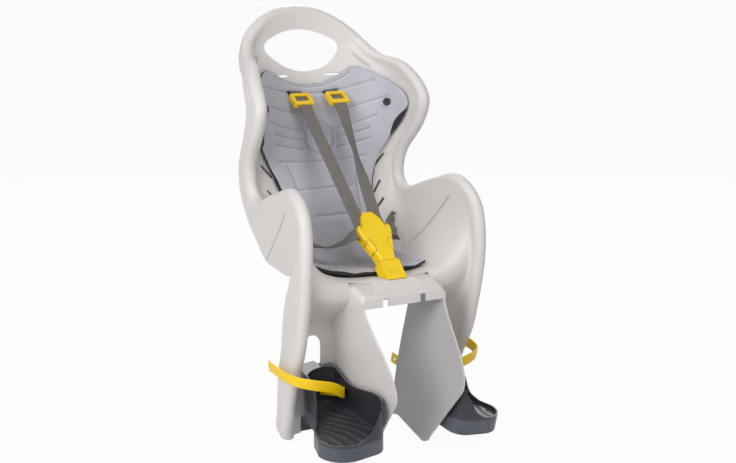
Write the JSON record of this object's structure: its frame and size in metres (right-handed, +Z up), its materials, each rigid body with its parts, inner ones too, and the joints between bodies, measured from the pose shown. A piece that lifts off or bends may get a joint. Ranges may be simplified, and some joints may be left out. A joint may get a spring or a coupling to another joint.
{
  "type": "child bike seat",
  "caption": "Rear child seat for a bicycle: moulded shell with carry handle and wheel shields, soft pad, webbing harness with buckle, and sliding footrests with straps.",
  "frame": {"origin": "middle of the carrier block's underside, where the seat sits on its carrier", "axes": "+Z up, the child faces -Y, +X towards the child's left"},
  "size_m": [0.4146, 0.4645, 0.7613],
  "materials": {
    "shell": "satin, warm off-white",
    "pad": "matte moulded foam with a fabric face",
    "snap": "satin black",
    "webbing": "woven polyester webbing",
    "adjuster": "semi-gloss yellow",
    "keeper": "moulded black",
    "buckle": "semi-gloss yellow",
    "button": "semi-gloss yellow",
    "tongue": "moulded black",
    "bar": "zinc plated",
    "footrest": "moulded charcoal",
    "foot_strap": "smooth soft PVC, yellow",
    "leg_tie": "moulded dark grey"
  },
  "bodies": {
    "seat": {"seat_shell": "shell", "seat_pad": "pad", "buckle_front": "buckle", "buckle_back": "buckle", "crotch_link": "webbing", "crotch_bar": "bar", "pad_snap_left": "snap", "pad_snap_right": "snap", "shoulder_strap_left": "webbing", "shoulder_strap_right": "webbing", "strap_adjuster_left": "adjuster", "strap_adjuster_right": "adjuster", "shoulder_keeper_left": "keeper", "shoulder_keeper_right": "keeper", "lap_strap_left": "webbing", "lap_strap_right": "webbing", "lap_keeper_left": "keeper", "lap_keeper_right": "keeper", "buckle_tongue_left": "tongue", "buckle_tongue_right": "tongue", "leg_tie_left": "leg_tie", "leg_tie_right": "leg_tie"},
    "footrest_left": {"footrest_left": "footrest", "foot_strap_left": "foot_strap"},
    "footrest_right": {"footrest_right": "footrest", "foot_strap_right": "foot_strap"},
    "button_left": {"buckle_button_left": "button"},
    "button_right": {"buckle_button_right": "button"}
  },
  "joints": [
    {"name": "footrest_slide_left", "type": "slide", "parent": "seat", "child": "footrest_left", "axis": [0.0984, -0.138, 0.9855], "range_m": [0, 0.045]},
    {"name": "button_press_left", "type": "slide", "parent": "seat", "child": "button_left", "axis": [-0.9487, 0.2157, 0.2313], "range_m": [0, 0.003], "stiffness_N_per_m": 800},
    {"name": "footrest_slide_right", "type": "slide", "parent": "seat", "child": "footrest_right", "axis": [-0.0984, -0.138, 0.9855], "range_m": [0, 0.045]},
    {"name": "button_press_right", "type": "slide", "parent": "seat", "child": "button_right", "axis": [0.9487, 0.2157, 0.2313], "range_m": [0, 0.003], "stiffness_N_per_m": 800}
  ]
}
